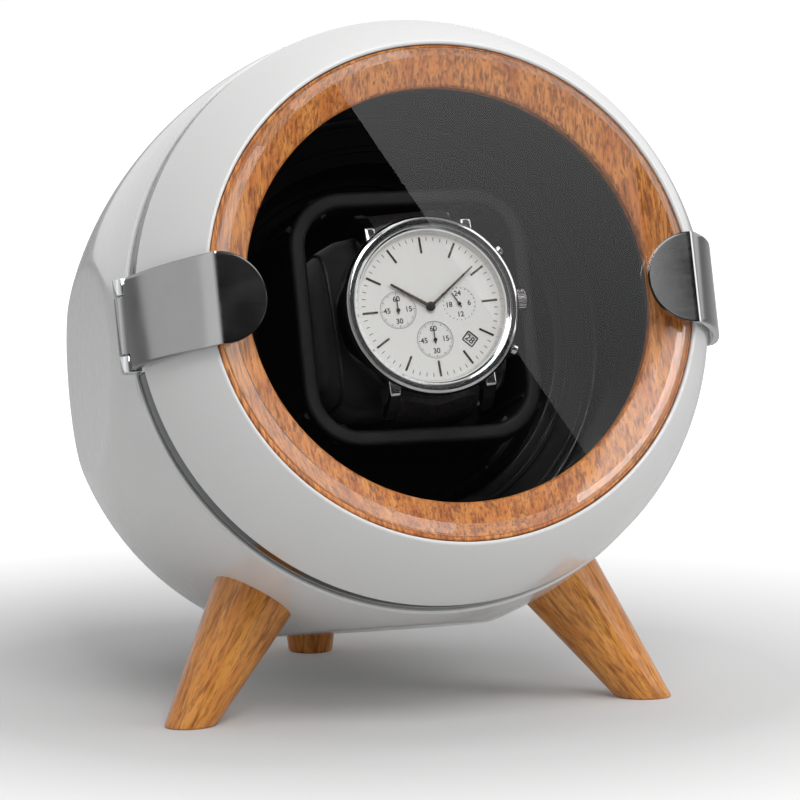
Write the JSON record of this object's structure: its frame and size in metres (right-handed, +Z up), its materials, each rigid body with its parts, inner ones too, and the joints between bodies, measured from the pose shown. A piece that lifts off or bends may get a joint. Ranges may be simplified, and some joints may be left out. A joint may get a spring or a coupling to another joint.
{
  "type": "watch winder box",
  "caption": "Watch winder box: round-fronted white case on wooden legs, hinged clear cover, geared rotor with cushion and a chronograph wristwatch.",
  "frame": {"origin": "on the plane the legs stand on, under the middle of the object's bounding box", "axes": "+Z up; the round front faces -Y and leans back 17.8 degrees; +X is to the right as seen from the front"},
  "size_m": [0.1444, 0.1656, 0.1596],
  "materials": {
    "gloss_white": "high gloss white moulding",
    "black_gloss": "black moulding",
    "black_matte": "black moulding, fine texture",
    "grey_plastic": "dark grey moulding",
    "acetal": "natural acetal gear",
    "wood": "satin lacquer, warm brown",
    "chrome": "bright",
    "satin_steel": "brushed",
    "steel": "plain",
    "watch_steel": "polished steel",
    "brass": "plain",
    "acrylic": "clear cast acrylic",
    "crystal": "clear watch crystal",
    "board": "green circuit board",
    "cushion": "soft grey cushion cover",
    "strap": "black grained leather",
    "dial": "off-white dial",
    "bronze": "dark bronze"
  },
  "bodies": {
    "case": {"front_bezel": "gloss_white", "wood_ring": "wood", "trim_ring": "chrome", "rear_shell": "gloss_white", "inner_bowl": "black_gloss", "bowl_screws": "steel", "chassis_plate": "black_matte", "chassis_screws": "steel", "tie_pillars": "steel", "back_panel": "grey_plastic", "panel_screws": "steel", "gear_motor": "steel", "motor_screws": "steel", "rotor_bush": "brass", "control_board": "board", "switch_housing": "black_matte", "dc_jack": "black_matte", "latch_magnet": "chrome", "hinge_bracket": "chrome", "hinge_pin": "steel", "leg_front_left": "wood", "leg_front_right": "wood", "leg_rear": "wood", "leg_bolts": "steel"},
    "door": {"acrylic_cover": "acrylic", "hinge_clip": "satin_steel", "latch_clip": "satin_steel"},
    "rotor": {"rotor_disc": "black_gloss", "holder_frame": "black_matte", "holder_screws": "steel", "rotor_shaft": "steel", "drive_gear": "acetal", "shaft_clip": "steel"},
    "pinion": {"motor_pinion": "brass", "motor_shaft": "steel"},
    "payload": {"cushion": "cushion", "strap_upper": "strap", "strap_lower": "strap", "strap_buckle": "watch_steel", "spring_bars": "steel", "watch_case": "watch_steel", "case_back": "watch_steel", "watch_bezel": "watch_steel", "watch_crystal": "crystal", "watch_dial": "dial", "hour_markers": "bronze", "watch_movement": "brass"},
    "hour_hand_body": {"hour_hand": "bronze"},
    "minute_hand_body": {"minute_hand": "bronze"},
    "seconds_hand_body": {"seconds_hand": "bronze"},
    "counter_hand_body": {"counter_hand": "bronze"},
    "day_hand_body": {"day_hand": "bronze"},
    "crown_body": {"crown": "watch_steel"},
    "pusher_upper_body": {"pusher_upper": "watch_steel"},
    "pusher_lower_body": {"pusher_lower": "watch_steel"},
    "knob": {"mode_knob": "black_matte"},
    "rocker": {"power_rocker": "grey_plastic"}
  },
  "joints": [
    {"name": "cover_hinge", "type": "hinge", "parent": "case", "child": "door", "pos_m": [-0.0702, -0.038, 0.09312], "axis": [0, -0.3057, -0.9521], "range_deg": [0, 105]},
    {"name": "rotor_turn", "type": "hinge", "parent": "case", "child": "rotor", "pos_m": [0, 0.00342, 0.07982], "axis": [0, -0.9521, 0.3057], "continuous": true},
    {"name": "pinion_turn", "type": "hinge", "parent": "case", "child": "pinion", "pos_m": [0, 0.00092, 0.04912], "axis": [0, -0.9521, 0.3057], "continuous": true},
    {"name": "cushion_pull", "type": "slide", "parent": "rotor", "child": "payload", "axis": [0, -0.9521, 0.3057], "range_m": [0, 0.012]},
    {"name": "minute_turn", "type": "hinge", "parent": "payload", "child": "minute_hand_body", "pos_m": [0, -0.04504, 0.09538], "axis": [0, 0.9521, -0.3057], "continuous": true},
    {"name": "hour_turn", "type": "hinge", "parent": "payload", "child": "hour_hand_body", "pos_m": [0, -0.04452, 0.09522], "axis": [0, 0.9521, -0.3057], "continuous": true},
    {"name": "day_turn", "type": "hinge", "parent": "payload", "child": "day_hand_body", "pos_m": [0.00709, -0.04387, 0.09545], "axis": [0, 0.9521, -0.3057], "continuous": true},
    {"name": "seconds_turn", "type": "hinge", "parent": "payload", "child": "seconds_hand_body", "pos_m": [-0.00769, -0.04414, 0.09461], "axis": [0, 0.9521, -0.3057], "continuous": true},
    {"name": "counter_turn", "type": "hinge", "parent": "payload", "child": "counter_hand_body", "pos_m": [0.00046, -0.04634, 0.08773], "axis": [0, 0.9521, -0.3057], "continuous": true},
    {"name": "crown_turn", "type": "hinge", "parent": "payload", "child": "crown_body", "pos_m": [0.02246, -0.0413, 0.09559], "axis": [0.9982, 0.0181, 0.0565], "continuous": true},
    {"name": "pusher_upper_press", "type": "slide", "parent": "payload", "child": "pusher_upper_body", "axis": [-0.8251, -0.1727, -0.5379], "range_m": [0, 0.0008], "stiffness_N_per_m": 400, "springref_m": -0.0005},
    {"name": "pusher_lower_press", "type": "slide", "parent": "payload", "child": "pusher_lower_body", "axis": [-0.8862, 0.1416, 0.4411], "range_m": [0, 0.0008], "stiffness_N_per_m": 400, "springref_m": -0.0005},
    {"name": "mode_knob_turn", "type": "hinge", "parent": "case", "child": "knob", "pos_m": [-0.015, 0.07682, 0.06571], "axis": [0, 0.9521, -0.3057], "range_deg": [0, 270]},
    {"name": "power_rocker_tip", "type": "hinge", "parent": "case", "child": "rocker", "pos_m": [0.015, 0.07187, 0.0673], "axis": [0, 0.3057, 0.9521], "range_deg": [-16, 0]}
  ],
  "couplings": [
    {"joint": "pinion_turn", "follows": "rotor_turn", "ratio": -4},
    {"joint": "hour_turn", "follows": "minute_turn", "ratio": 0.083333},
    {"joint": "day_turn", "follows": "minute_turn", "ratio": 0.041667}
  ]
}
